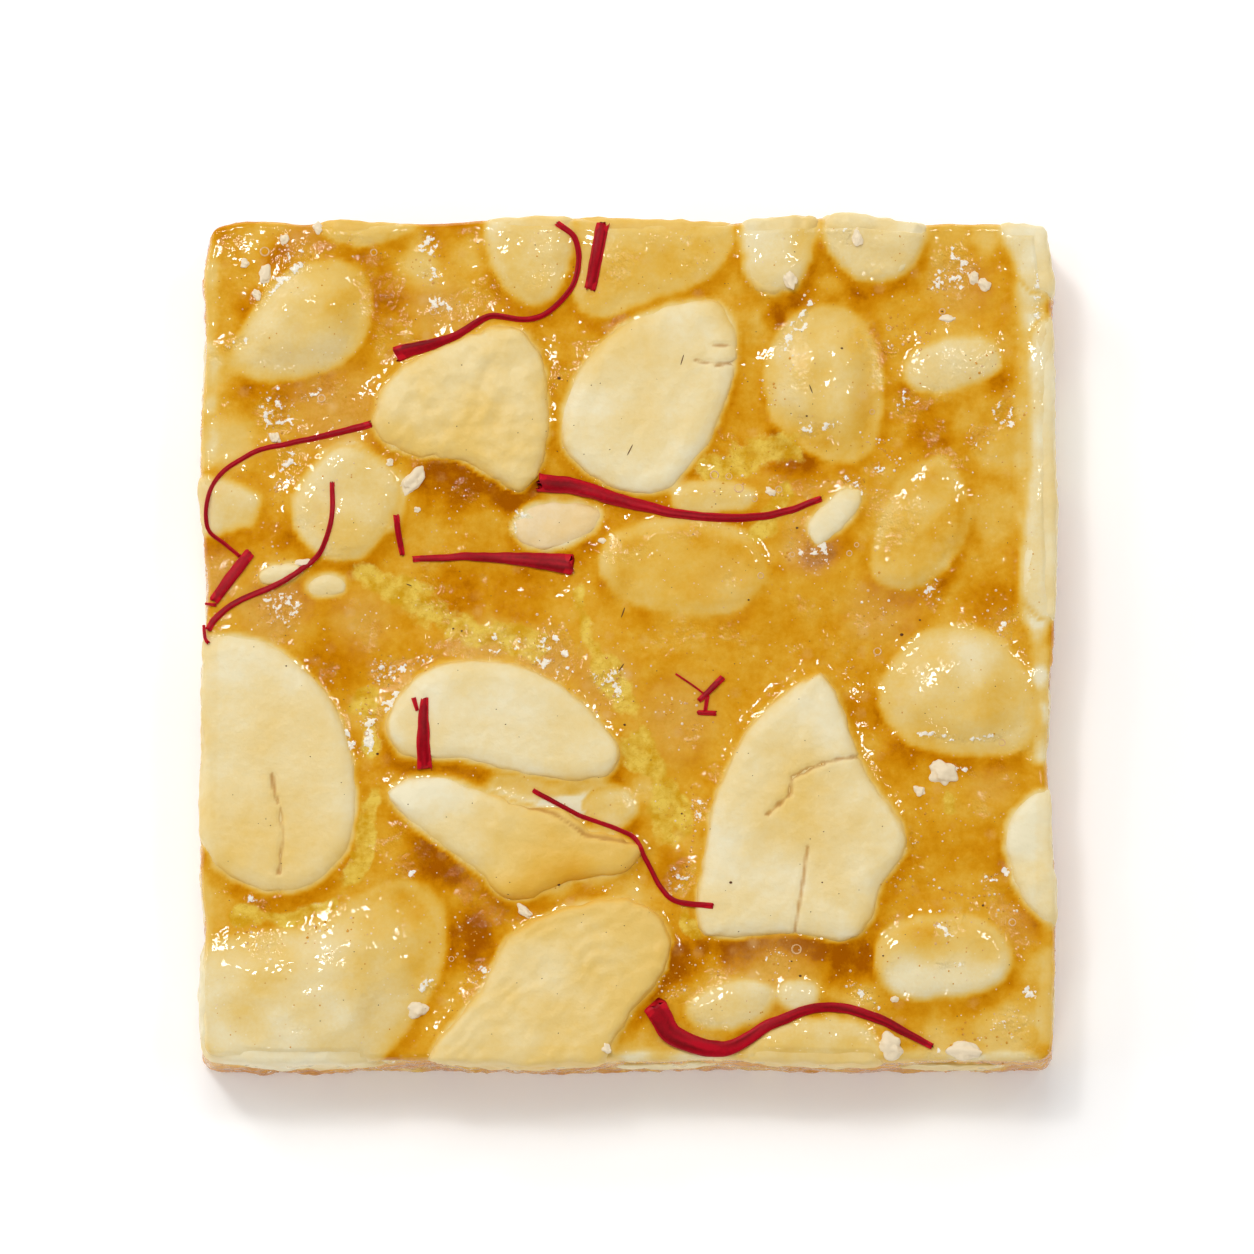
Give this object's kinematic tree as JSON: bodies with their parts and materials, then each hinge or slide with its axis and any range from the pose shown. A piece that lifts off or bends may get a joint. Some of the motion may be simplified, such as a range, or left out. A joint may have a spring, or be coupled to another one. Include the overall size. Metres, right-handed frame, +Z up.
{
  "type": "cashew chikki",
  "caption": "Square slab of cashew kernels and pieces set in glossy amber sugar brittle, with red saffron threads laid over the top.",
  "frame": {"origin": "under the middle of the slab, on its flat underside", "axes": "+Z up through the thickness, +Y towards the back side, +X to the right"},
  "size_m": [0.0707, 0.0705, 0.0118],
  "materials": {
    "syrup": "glossy, translucent amber sugar glass, cloudy with fine bubbles",
    "cashew": "bare cream kernel, satin, finely fibrous",
    "glazed_cashew": "cream kernel under a thin glossy film of amber syrup",
    "saffron": "dry crimson threads, finely ribbed along their length"
  },
  "bodies": {
    "root": {"brittle": "syrup", "cashew_back_edge_left": "cashew", "cashew_back_edge_right": "cashew", "cashew_broken_back": "cashew", "cashew_broken_front": "cashew", "cashew_broken_front_right": "cashew", "cashew_broken_middle": "cashew", "cashew_broken_right": "cashew", "cashew_chip_back": "glazed_cashew", "cashew_chip_left": "cashew", "cashew_chip_left_inner": "glazed_cashew", "cashew_chip_pale": "cashew", "cashew_chip_slim": "cashew", "cashew_chip_tan": "glazed_cashew", "cashew_corner_back": "cashew", "cashew_half_back": "cashew", "cashew_half_left": "cashew", "cashew_half_middle": "cashew", "cashew_lower_back_left": "cashew", "cashew_lower_back_middle": "cashew", "cashew_lower_back_right": "cashew", "cashew_lower_front_middle": "cashew", "cashew_lower_front_right": "cashew", "cashew_lower_left_back": "cashew", "cashew_lower_left_front": "cashew", "cashew_lower_left_middle": "cashew", "cashew_lower_right_back": "cashew", "cashew_lower_right_front": "cashew", "cashew_lower_right_middle": "cashew", "cashew_right_edge_back": "cashew", "cashew_right_edge_front": "cashew", "cashew_sunk_back_corner": "glazed_cashew", "cashew_sunk_back_left": "glazed_cashew", "cashew_sunk_back_middle": "glazed_cashew", "cashew_sunk_front_edge": "glazed_cashew", "cashew_sunk_front_left": "glazed_cashew", "cashew_sunk_front_middle": "glazed_cashew", "cashew_sunk_left_edge": "glazed_cashew", "cashew_sunk_left_kite": "glazed_cashew", "cashew_sunk_middle": "glazed_cashew", "cashew_sunk_right_back": "glazed_cashew", "cashew_sunk_right_middle": "glazed_cashew", "cashew_whole_back_left": "glazed_cashew", "cashew_whole_back_right": "glazed_cashew", "cashew_whole_front_left": "glazed_cashew", "cashew_whole_right": "glazed_cashew", "saffron_back_curl": "saffron", "saffron_back_short": "saffron", "saffron_front_wave": "saffron", "saffron_left_arc": "saffron", "saffron_left_broad": "saffron", "saffron_left_dash": "saffron", "saffron_left_loop": "saffron", "saffron_long_sweep": "saffron", "saffron_middle_bar": "saffron", "saffron_on_half": "saffron", "saffron_scrap": "saffron", "saffron_step_curve": "saffron"}
  },
  "joints": []
}
